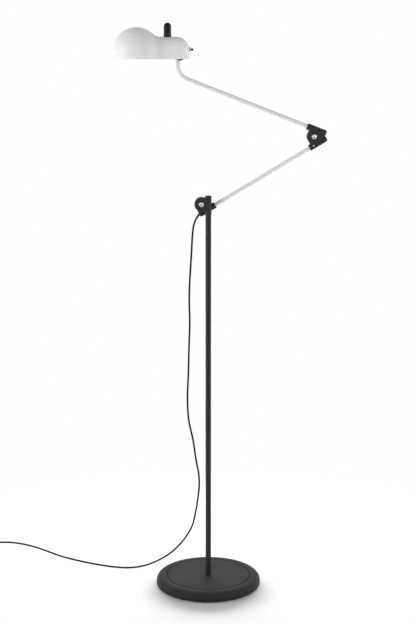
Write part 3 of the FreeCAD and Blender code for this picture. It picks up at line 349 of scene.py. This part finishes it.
# each station: share of the length from the back, of the half width and of the half height
RIB_STATIONS = ((0.0, 0.26, 0.6), (0.025, 0.26, 0.6), (0.03, 0.21, 0.52), (0.045, 0.21, 0.52))
NECK_STATIONS = ((0.0, 0.17, 0.42), (0.03, 0.2, 0.5))
BODY_STATIONS = (
    (0.26, 0.3, 0.66),
    (0.34, 0.52, 0.8),
    (0.42, 0.74, 0.92),
    (0.5, 0.86, 0.98),
    (0.6, 0.9, 1.0),
    (0.72, 0.92, 1.0),
    (0.84, 0.97, 1.0),
    (0.93, 1.0, 1.0),
    (0.98, 0.99, 0.98),
    (1.0, 0.96, 0.93),
)
PLUG_CORNER = 0.8
PLUG_CORNER_STEPS = 6


def plug_stations():
    """The plug's sections from the cord to the pins: a neck, its ribs and the body."""
    stations = list(NECK_STATIONS)
    for rib in range(NECK_RIBS):
        at = FIRST_RIB + RIB_PITCH * rib
        stations += [(at + share, wide, tall) for share, wide, tall in RIB_STATIONS]
    return stations + list(BODY_STATIONS)


def make_plug():
    """Slim two-pin plug: a body that widens towards the pins and a ribbed neck for the cord."""
    low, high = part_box("plug_body")
    middle = centre("plug_body")
    half = (high[0] - low[0]) / 2
    depth = (high[2] - low[2]) / 2
    length = high[1] - low[1]
    bm = bmesh.new()
    rings = []
    for share, wide, tall in plug_stations():
        section = rounded_section(half * wide, depth * tall, depth * tall * PLUG_CORNER, PLUG_CORNER_STEPS)
        rings.append([
            bm.verts.new((middle.x + x, low[1] + length * share, middle.z + z)) for x, z in section
        ])
    skin_rings(bm, rings)
    plug = new_object("plug", bm)
    plug.data.materials.append(plug_plastic())
    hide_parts("plug_body")
    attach(plug, "root")
    return plug


TIE_THICKNESS = 0.7 * MM
TIE_CORNER = 3.5 * MM
TIE_LIFT = 0.05 * MM
TIE_CORNER_STEPS = 8
LAP_SHIFT = 0.2
LAP_LENGTH = 1.2


def tie_band(low, high, middle, half, top):
    """The closed band round the coil, a section of four points carried round a rounded outline."""
    loop = rounded_section(half, top / 2 - TIE_THICKNESS * 0.2, TIE_CORNER, TIE_CORNER_STEPS)
    bm = bmesh.new()
    rings = []
    for x, flat_z in loop:
        z = flat_z + top / 2 + TIE_LIFT
        inward = Vector((-x, 0, top / 2 - z)).normalized() * TIE_THICKNESS * 0.5
        rings.append([
            bm.verts.new(Vector((middle.x + x, middle.y + y, z)) + inward * way)
            for y, way in ((low[1] - middle.y, 1), (low[1] - middle.y, -1),
                           (high[1] - middle.y, -1), (high[1] - middle.y, 1))
        ])
    skin_rings(bm, rings, closed=True)
    return new_object("tie", bm)


def tie_lap(width, middle, half, top):
    """The band's free end, lapped over on top and a little to one side."""
    place = Matrix.Translation((middle.x + half * LAP_SHIFT, middle.y, top + TIE_THICKNESS * 0.8))
    size = Matrix.Diagonal((half * LAP_LENGTH, width, TIE_THICKNESS, 1))
    bm = bmesh.new()
    bmesh.ops.create_cube(bm, size=1, matrix=place @ size)
    bmesh.ops.bevel(bm, geom=bm.edges[:], offset=TIE_THICKNESS * 0.4, segments=2, profile=0.5,
                    affect="EDGES", material=-1)
    return new_object("tie_end", bm)


def make_tie():
    """Woven hook-and-loop band round the coil, with its end lapped over on top."""
    low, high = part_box("cord_tie")
    middle = centre("cord_tie")
    half = (high[0] - low[0]) / 2 - TIE_THICKNESS
    top = high[2] - 2 * TIE_THICKNESS
    tie = tie_band(low, high, middle, half, top)
    tie_end = tie_lap(high[1] - low[1], middle, half, top)
    webbing = tie_webbing()
    for piece in (tie, tie_end):
        piece.data.materials.append(webbing)
        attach(piece, "root")
    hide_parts("cord_tie")
    return tie, tie_end


# ---------------------------------------------------------------- materials: shared effects
COAT_ROUGHNESS = 0.12
BUMP_HEIGHT = 0.2 * MM


def fresh(name):
    """A new material, its nodes, its links and its shader."""
    material = bpy.data.materials.new(name)
    material.use_nodes = True
    tree = material.node_tree
    return material, tree, tree.nodes["Principled BSDF"]


def node_of(tree, kind, **settings):
    """A node with some of its settings and input values set, inputs named with underscores."""
    made = tree.nodes.new("ShaderNode" + kind)
    for name, value in settings.items():
        if name[0].isupper():
            made.inputs[name.replace("_", " ")].default_value = value
        else:
            setattr(made, name, value)
    return made


def group_of(name, inputs, outputs):
    """An empty node group with float inputs and given outputs."""
    tree = bpy.data.node_groups.new(name, "ShaderNodeTree")
    for label, default in inputs:
        socket = tree.interface.new_socket(name=label, in_out="INPUT", socket_type="NodeSocketFloat")
        socket.default_value = default
    for label, kind in outputs:
        tree.interface.new_socket(name=label, in_out="OUTPUT", socket_type=kind)
    return tree, tree.nodes.new("NodeGroupInput"), tree.nodes.new("NodeGroupOutput")


def coated_surface():
    """Group: the fine pebbled relief of a sprayed coat, with faint uneven gloss and shade."""
    name = "coated surface"
    if name in bpy.data.node_groups:
        return bpy.data.node_groups[name]
    tree, start, end = group_of(
        name,
        [("Scale", 900.0), ("Relief", 0.1), ("Gloss", 0.4), ("Unevenness", 0.05), ("Clouding", 1.0)],
        [("Normal", "NodeSocketVector"), ("Roughness", "NodeSocketFloat"), ("Shade", "NodeSocketFloat")],
    )
    place = tree.nodes.new("ShaderNodeTexCoord")
    fine = node_of(tree, "TexNoise", Detail=3.0, Roughness=0.55)
    broad = node_of(tree, "TexNoise", Scale=14.0, Detail=4.0, Roughness=0.6)
    bump = node_of(tree, "Bump", Distance=BUMP_HEIGHT)
    gloss = node_of(tree, "MapRange", From_Min=0.3, From_Max=0.7, To_Min=-1.0, To_Max=1.0)
    vary = node_of(tree, "Math", operation="MULTIPLY")
    total = node_of(tree, "Math", operation="ADD", use_clamp=True)
    shade = node_of(tree, "MapRange", From_Min=0.25, From_Max=0.75, To_Min=0.94, To_Max=1.05)
    clouded = node_of(tree, "Mix", data_type="FLOAT", A=1.0)
    link = tree.links.new
    link(place.outputs["Object"], fine.inputs["Vector"])
    link(place.outputs["Object"], broad.inputs["Vector"])
    link(start.outputs["Scale"], fine.inputs["Scale"])
    link(fine.outputs["Fac"], bump.inputs["Height"])
    link(start.outputs["Relief"], bump.inputs["Strength"])
    link(broad.outputs["Fac"], gloss.inputs["Value"])
    link(gloss.outputs["Result"], vary.inputs[0])
    link(start.outputs["Unevenness"], vary.inputs[1])
    link(vary.outputs[0], total.inputs[0])
    link(start.outputs["Gloss"], total.inputs[1])
    link(broad.outputs["Fac"], shade.inputs["Value"])
    link(bump.outputs["Normal"], end.inputs["Normal"])
    link(total.outputs[0], end.inputs["Roughness"])
    link(start.outputs["Clouding"], clouded.inputs["Factor"])
    link(shade.outputs["Result"], clouded.inputs["B"])
    link(clouded.outputs["Result"], end.inputs["Shade"])
    return tree


def tinted(tree, colour, shade_output):
    """A base colour that the shade factor makes a little lighter or darker."""
    mix = node_of(tree, "Mix", data_type="RGBA", blend_type="MULTIPLY")
    mix.inputs["Factor"].default_value = 1.0
    mix.inputs["A"].default_value = (*colour, 1)
    spread = tree.nodes.new("ShaderNodeCombineColor")
    for channel in ("Red", "Green", "Blue"):
        tree.links.new(shade_output, spread.inputs[channel])
    tree.links.new(spread.outputs["Color"], mix.inputs["B"])
    return mix.outputs["Result"]


def coated(name, colour, scale, relief, gloss, unevenness=0.04, coat=0.0, shine=0.5, clouding=1.0):
    """A painted, coated or moulded surface with its relief and uneven gloss."""
    material, tree, shader = fresh(name)
    surface = tree.nodes.new("ShaderNodeGroup")
    surface.node_tree = coated_surface()
    surface.inputs["Scale"].default_value = scale
    surface.inputs["Relief"].default_value = relief
    surface.inputs["Gloss"].default_value = gloss
    surface.inputs["Unevenness"].default_value = unevenness
    surface.inputs["Clouding"].default_value = clouding
    tree.links.new(surface.outputs["Normal"], shader.inputs["Normal"])
    tree.links.new(surface.outputs["Roughness"], shader.inputs["Roughness"])
    tree.links.new(tinted(tree, colour, surface.outputs["Shade"]), shader.inputs["Base Color"])
    shader.inputs["Specular IOR Level"].default_value = shine
    shader.inputs["Coat Weight"].default_value = coat
    shader.inputs["Coat Roughness"].default_value = COAT_ROUGHNESS
    return material


def grey(value, blue=1.0):
    """A neutral colour, a touch cooler if blue is over one."""
    return (value, value, value * blue)


def moulded(name, value, gloss):
    """Injection-moulded black plastic with a fine spark-eroded grain."""
    return coated(name, grey(value, blue=1.05), scale=1800.0, relief=0.12, gloss=gloss)


def metal(name, colour, roughness, streak):
    """Bare or plated metal with fine turning or rolling marks."""
    material, tree, shader = fresh(name)
    place = tree.nodes.new("ShaderNodeTexCoord")
    fine = node_of(tree, "TexNoise", Scale=1500.0, Detail=4.0, Roughness=0.7)
    broad = node_of(tree, "TexNoise", Scale=90.0, Detail=3.0)
    for noise in (fine, broad):
        tree.links.new(place.outputs["Object"], noise.inputs["Vector"])
    bump = node_of(tree, "Bump", Strength=streak, Distance=0.04 * MM)
    tree.links.new(fine.outputs["Fac"], bump.inputs["Height"])
    tree.links.new(bump.outputs["Normal"], shader.inputs["Normal"])
    gloss = node_of(tree, "MapRange", To_Min=roughness * 0.7, To_Max=roughness * 1.4)
    tree.links.new(broad.outputs["Fac"], gloss.inputs["Value"])
    tree.links.new(gloss.outputs["Result"], shader.inputs["Roughness"])
    shade = node_of(tree, "MapRange", To_Min=0.92, To_Max=1.04)
    tree.links.new(broad.outputs["Fac"], shade.inputs["Value"])
    tree.links.new(tinted(tree, colour, shade.outputs["Result"]), shader.inputs["Base Color"])
    shader.inputs["Metallic"].default_value = 1.0
    return material


# ---------------------------------------------------------------- materials of the detailed pieces
def cord_sheath():
    """Soft black sheath, a little dusty."""
    return coated("cord_sheath_finish", grey(0.005, blue=1.04), scale=700.0, relief=0.08, gloss=0.6,
                  unevenness=0.08, shine=0.15)


def sleeve_plastic():
    """The strain relief's black plastic."""
    return moulded("relief_plastic", 0.018, gloss=0.45)


def plug_plastic():
    """The plug's black plastic."""
    return moulded("plug_plastic", 0.02, gloss=0.5)


def holder_plastic():
    """The lampholder ring's black plastic."""
    return moulded("holder_plastic", 0.016, gloss=0.4)


def tie_webbing():
    """Black woven band: crossing threads as a fine relief."""
    material, tree, shader = fresh("tie_webbing")
    place = tree.nodes.new("ShaderNodeTexCoord")
    waves = []
    for direction in ("X", "Y"):
        wave = node_of(tree, "TexWave", bands_direction=direction, Scale=420.0, Distortion=0.6, Detail=1.0)
        tree.links.new(place.outputs["Object"], wave.inputs["Vector"])
        waves.append(wave)
    threads = node_of(tree, "Math", operation="MAXIMUM")
    for k, wave in enumerate(waves):
        tree.links.new(wave.outputs["Fac"], threads.inputs[k])
    bump = node_of(tree, "Bump", Strength=0.5, Distance=BUMP_HEIGHT)
    tree.links.new(threads.outputs[0], bump.inputs["Height"])
    tree.links.new(bump.outputs["Normal"], shader.inputs["Normal"])
    shade = node_of(tree, "MapRange", To_Min=0.5, To_Max=1.3)
    tree.links.new(threads.outputs[0], shade.inputs["Value"])
    tree.links.new(tinted(tree, grey(0.02), shade.outputs["Result"]), shader.inputs["Base Color"])
    shader.inputs["Roughness"].default_value = 0.85
    shader.inputs["Sheen Weight"].default_value = 0.3
    return material


# ---------------------------------------------------------------- materials of the CAD nodes
def base_coat():
    """Dull fine-textured dark coating of the base."""
    return coated("base_coat", grey(0.014), scale=1500.0, relief=0.3, gloss=0.62)


def pole_coat():
    """Satin dark coating of the pole."""
    return coated("pole_coat", grey(0.018), scale=1500.0, relief=0.2, gloss=0.42, shine=0.25)


def casting_coat():
    """Satin dark coating of the bracket castings."""
    return coated("casting_coat", grey(0.021), scale=1100.0, relief=0.25, gloss=0.42, shine=0.3)


def arm_coat():
    """Smooth pale paint of the arm tubes."""
    return coated("arm_coat", grey(0.76), scale=500.0, relief=0.02, gloss=0.4, coat=0.05, clouding=0.1)


def shade_coat():
    """Smooth white paint of the shade."""
    return coated("shade_coat", grey(0.825, blue=1.003), scale=350.0, relief=0.03, gloss=0.42,
                  coat=0.03, shine=0.3, clouding=0.4)


def grip_gloss():
    """Black plastic of the grip, almost smooth."""
    return coated("grip_gloss", grey(0.004), scale=300.0, relief=0.01, gloss=0.3, unevenness=0.02,
                  shine=0.2)


def collar_satin():
    """Satin black plastic of the grip's collar."""
    return coated("collar_satin", grey(0.012), scale=1500.0, relief=0.1, gloss=0.45, shine=0.3)


def knob_plastic():
    """Black plastic of the knob, the switch and the lampholder."""
    return moulded("knob_plastic", 0.014, gloss=0.35)


def lever_gloss():
    """Shiny black plastic of the toggle."""
    return coated("lever_gloss", grey(0.006), scale=300.0, relief=0.01, gloss=0.25, unevenness=0.02,
                  shine=0.25)


def weight_casting():
    """Rough dark iron of the base's weight."""
    return coated("weight_casting", grey(0.1), scale=260.0, relief=0.8, gloss=0.7)


def pad_rubber():
    """Dull black rubber under the base."""
    return coated("pad_rubber", grey(0.02), scale=900.0, relief=0.2, gloss=0.75)


def lead_sheath():
    """Grey sheath of the leads inside the arms."""
    return coated("lead_sheath", grey(0.5), scale=700.0, relief=0.05, gloss=0.5)


def washer_nylon():
    """Pale grey plastic of the friction washers."""
    return coated("washer_nylon", grey(0.5), scale=500.0, relief=0.05, gloss=0.45)


def bolt_chrome():
    """Polished plating of the two pivot bolts."""
    return metal("bolt_chrome", grey(0.78), roughness=0.16, streak=0.2)


def switch_nickel():
    """Duller plating of the switch's bush and nut."""
    return metal("switch_nickel", grey(0.5), roughness=0.3, streak=0.3)


def zinc_plate():
    """Bluish plating of the steel that doesn't show."""
    return metal("zinc_plate", (0.66, 0.67, 0.7), roughness=0.32, streak=0.5)


def screw_steel():
    """Plain steel of the grub screws."""
    return metal("screw_steel", grey(0.6), roughness=0.28, streak=0.3)


def pin_nickel():
    """Warm plating of the plug's pins and the bulb's cap."""
    return metal("pin_nickel", (0.78, 0.74, 0.66), roughness=0.2, streak=0.3)


def frosted_glass():
    """Frosted glass: white and slightly see-through, with a painted sheen that makes its colour lighter
    where it is seen at a grazing angle.
    """
    material, tree, shader = fresh("frosted_glass")
    place = tree.nodes.new("ShaderNodeTexCoord")
    frost = node_of(tree, "TexNoise", Scale=2600.0, Detail=2.0)
    tree.links.new(place.outputs["Object"], frost.inputs["Vector"])
    bump = node_of(tree, "Bump", Strength=0.15, Distance=0.05 * MM)
    tree.links.new(frost.outputs["Fac"], bump.inputs["Height"])
    tree.links.new(bump.outputs["Normal"], shader.inputs["Normal"])
    # painted sheen: the base colour is made lighter where the surface is seen at a grazing angle
    grazing_sheen = node_of(tree, "LayerWeight", Blend=0.35)
    shade = node_of(tree, "MapRange", To_Min=0.82, To_Max=0.95)
    tree.links.new(grazing_sheen.outputs["Facing"], shade.inputs["Value"])
    tree.links.new(tinted(tree, (1.0, 0.99, 0.96), shade.outputs["Result"]), shader.inputs["Base Color"])
    shader.inputs["Roughness"].default_value = 0.3
    shader.inputs["Transmission Weight"].default_value = 0.25
    shader.inputs["Subsurface Weight"].default_value = 0.2
    shader.inputs["Subsurface Radius"].default_value = (4 * MM, 4 * MM, 4 * MM)
    return material


FINISHES = (
    (base_coat, ("base_rim", "base_plate")),
    (pole_coat, ("pole",)),
    (casting_coat, ("pole_bracket", "lower_arm_bracket", "elbow_rear_bracket", "elbow_front_bracket",
                    "swivel_block")),
    (arm_coat, ("lower_arm_tube", "upper_arm_tube")),
    (shade_coat, ("shade",)),
    (grip_gloss, ("handle_grip",)),
    (collar_satin, ("handle_collar",)),
    (knob_plastic, ("tilt_knob", "switch_body", "lampholder")),
    (lever_gloss, ("switch_lever",)),
    (weight_casting, ("base_weight",)),
    (pad_rubber, ("base_pad",)),
    (lead_sheath, ("lower_arm_lead", "upper_arm_lead")),
    (washer_nylon, ("pivot_friction_washers", "swivel_washers", "tilt_washers")),
    (bolt_chrome, ("lower_pivot_bolt", "elbow_bolt")),
    (switch_nickel, ("switch_nut", "switch_bush")),
    (zinc_plate, ("pole_stud", "base_washer", "base_nut", "pole_spigot", "lower_pivot_nut", "elbow_nut",
                  "pivot_spring_washers", "swivel_post", "swivel_nut", "head_frame", "handle_spacer",
                  "handle_screw", "tilt_screw", "tilt_nut", "holder_nipple", "holder_nut")),
    (screw_steel, ("pole_set_screw", "lower_arm_set_screws", "upper_arm_set_screw")),
    (pin_nickel, ("plug_pins", "bulb_cap")),
    (frosted_glass, ("bulb_glass",)),
)


def finish_nodes():
    """A material for every CAD node that shows."""
    for make_material, names in FINISHES:
        material = make_material()
        for name in names:
            mesh = nodes[name].data
            mesh.materials.clear()
            mesh.materials.append(material)


# ---------------------------------------------------------------- detailed small pieces
RING_BORE = 13.55 * MM
RING_COLLAR = 3.2 * MM
RING_STEP = 1.1 * MM
RING_EDGE = 0.4 * MM
RING_SLOPE = 0.2 * MM
RING_END = 0.5 * MM
RING_SIDES = 216
RIDGES = 36
RIDGE_DEPTH = 0.35 * MM


def make_holder_ring():
    """The lampholder's skirt ring with grip ridges round it."""
    low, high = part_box("lampholder_ring")
    middle = centre("lampholder_ring")
    start = Vector((high[0], middle.y, middle.z))
    outer = (high[1] - low[1]) / 2
    length = high[0] - low[0]
    body = outer - RING_STEP

    def ridged(radius, angle):
        if radius < body:
            return radius
        return radius - RIDGE_DEPTH * max(0, math.cos(RIDGES * angle))

    profile = [
        (RING_BORE, 0),
        (outer - RING_EDGE, 0),
        (outer, RING_EDGE),
        (outer, RING_COLLAR - RING_EDGE),
        (outer - RING_EDGE, RING_COLLAR),
        (body, RING_COLLAR + RING_SLOPE),
        (body, length - RING_END),
        (body - RING_END, length),
        (RING_BORE, length),
    ]
    ring = lathe("holder_ring", profile, start, (-1, 0, 0), ridged, sides=RING_SIDES)
    ring.data.materials.append(holder_plastic())
    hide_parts("lampholder_ring")
    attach(ring, "head")


# ---------------------------------------------------------------- floor, world and light
FLOOR_REACH = 14
FLOOR_COLOUR = (0.7267, 0.7267, 0.7267, 1)
FLOOR_BOUNCE = (0.6, 0.6, 0.6, 1)
# distances from the middle of the base between which the floor turns to plain white
CLEAR_FROM = 0.45
CLEAR_BY = 1.1

HORIZON_LIGHT = 1.18
ZENITH_LIGHT = 0.28
# light that travels at least this steeply downwards counts as coming from overhead
ZENITH_FROM = -0.9
# how much of the world's light is left straight from the front
FRONT_SHARE = 0.76

LAMP_MIDDLE = (0, 0, 1.1)
FLOOR_MIDDLE = (0, 0, 0)
# each light: its name, place, width, height and power in watts
SIDE_LIGHTS = (
    ("key", (-3.2, -1.3, 1.4), 2.0, 2.6, 64),
    ("fill", (3.0, -1.4, 1.4), 1.6, 2.4, 28),
)
TOP_LIGHT = ("top", (0, 1.2, 2.4), 2.4, 1.6, 22)
LOW_LIGHTS = (
    ("low back", (0, 4.0, 1.15), 6.0, 1.1, 700),
    ("low left", (-3.2, 0.2, 1.0), 2.0, 1.1, 42),
    ("low right", (3.2, 0.2, 1.0), 2.0, 1.1, 42),
)


def make_floor():
    """Wide pale floor: shaded near the lamp, and plain white to the camera further out.

    Every ray but the camera's meets a plain grey floor instead.
    """
    bm = bmesh.new()
    bmesh.ops.create_grid(bm, x_segments=1, y_segments=1, size=FLOOR_REACH)
    floor = new_object("floor", bm)
    material = bpy.data.materials.new("floor_white")
    material.use_nodes = True
    tree = material.node_tree
    tree.nodes.clear()
    link = tree.links.new
    path = tree.nodes.new("ShaderNodeLightPath")
    place = tree.nodes.new("ShaderNodeTexCoord")
    distance = node_of(tree, "VectorMath", operation="LENGTH")
    clear = node_of(tree, "MapRange", interpolation_type="SMOOTHSTEP", From_Min=CLEAR_FROM,
                    From_Max=CLEAR_BY)
    near = node_of(tree, "BsdfDiffuse", Color=FLOOR_COLOUR)
    far = node_of(tree, "Emission", Color=(1, 1, 1, 1), Strength=1.0)
    lit = node_of(tree, "BsdfDiffuse", Color=FLOOR_BOUNCE)
    seen = tree.nodes.new("ShaderNodeMixShader")
    mix = tree.nodes.new("ShaderNodeMixShader")
    out = tree.nodes.new("ShaderNodeOutputMaterial")
    link(place.outputs["Object"], distance.inputs[0])
    link(distance.outputs["Value"], clear.inputs["Value"])
    link(clear.outputs["Result"], seen.inputs["Fac"])
    link(near.outputs[0], seen.inputs[1])
    link(far.outputs[0], seen.inputs[2])
    link(path.outputs["Is Camera Ray"], mix.inputs["Fac"])
    link(lit.outputs[0], mix.inputs[1])
    link(seen.outputs[0], mix.inputs[2])
    link(mix.outputs[0], out.inputs["Surface"])
    floor.data.materials.append(material)
    return floor


def make_world():
    """White to the camera; to every other ray a soft light, weaker from overhead and from the front."""
    world = bpy.data.worlds.new("studio")
    world.use_nodes = True
    tree = world.node_tree
    tree.nodes.clear()
    link = tree.links.new
    path = tree.nodes.new("ShaderNodeLightPath")
    way = tree.nodes.new("ShaderNodeNewGeometry")
    parts = tree.nodes.new("ShaderNodeSeparateXYZ")
    height = node_of(tree, "MapRange", From_Min=ZENITH_FROM, From_Max=0.0, To_Min=ZENITH_LIGHT,
                     To_Max=HORIZON_LIGHT)
    depth = node_of(tree, "MapRange", From_Min=-1.0, From_Max=1.0, To_Min=1.0, To_Max=FRONT_SHARE)
    both = node_of(tree, "Math", operation="MULTIPLY")
    seen = node_of(tree, "Background", Color=(1, 1, 1, 1), Strength=1.0)
    lit = node_of(tree, "Background", Color=(1, 1, 1, 1))
    mix = tree.nodes.new("ShaderNodeMixShader")
    out = tree.nodes.new("ShaderNodeOutputWorld")
    link(way.outputs["Incoming"], parts.inputs["Vector"])
    link(parts.outputs["Z"], height.inputs["Value"])
    link(parts.outputs["Y"], depth.inputs["Value"])
    link(height.outputs["Result"], both.inputs[0])
    link(depth.outputs["Result"], both.inputs[1])
    link(both.outputs[0], lit.inputs["Strength"])
    link(path.outputs["Is Camera Ray"], mix.inputs["Fac"])
    link(lit.outputs[0], mix.inputs[1])
    link(seen.outputs[0], mix.inputs[2])
    link(mix.outputs[0], out.inputs["Surface"])
    bpy.context.scene.world = world


def softbox(name, place, width, height, power, target):
    """A large rectangular light aimed at a point."""
    data = bpy.data.lights.new(name, "AREA")
    data.shape = "RECTANGLE"
    data.size = width
    data.size_y = height
    data.energy = power
    light = bpy.data.objects.new(name, data)
    light.location = place
    aim = Vector(target) - Vector(place)
    light.rotation_euler = aim.to_track_quat("-Z", "Y").to_euler()
    bpy.context.scene.collection.objects.link(light)
    return light


def listed(name, members):
    """A collection outside the scene that only lists objects for a light."""
    group = bpy.data.collections.new(name)
    for member in members:
        group.objects.link(member)
    return group


def make_light(floor):
    """A broad key from the left, a weaker fill from the right, and separate lights for base and floor.

    The side lights spare the base and the floor. The top light is for the base alone. The low lights
    are for the floor alone, and only the base, its pad and the pole throw a shadow in them.
    """
    base = [nodes["base_rim"], nodes["base_plate"]]
    spared = listed("spared by the side lights", base + [floor])
    for member in spared.collection_objects:
        member.light_linking.link_state = "EXCLUDE"
    for settings in SIDE_LIGHTS:
        side = softbox(*settings, target=LAMP_MIDDLE)
        side.light_linking.receiver_collection = spared
    top = softbox(*TOP_LIGHT, target=FLOOR_MIDDLE)
    top.light_linking.receiver_collection = listed("lit by the top light", base)
    floor_only = listed("lit by the low lights", [floor])
    shading = listed("shade the low lights", base + [nodes["base_pad"], nodes["pole"]])
    for settings in LOW_LIGHTS:
        low = softbox(*settings, target=FLOOR_MIDDLE)
        low.light_linking.receiver_collection = floor_only
        low.light_linking.blocker_collection = shading


make_camera()
make_cord()
make_holder_ring()
finish_nodes()
floor_piece = make_floor()
make_world()
make_light(floor_piece)

scene = bpy.context.scene
scene.view_settings.view_transform = "Standard"
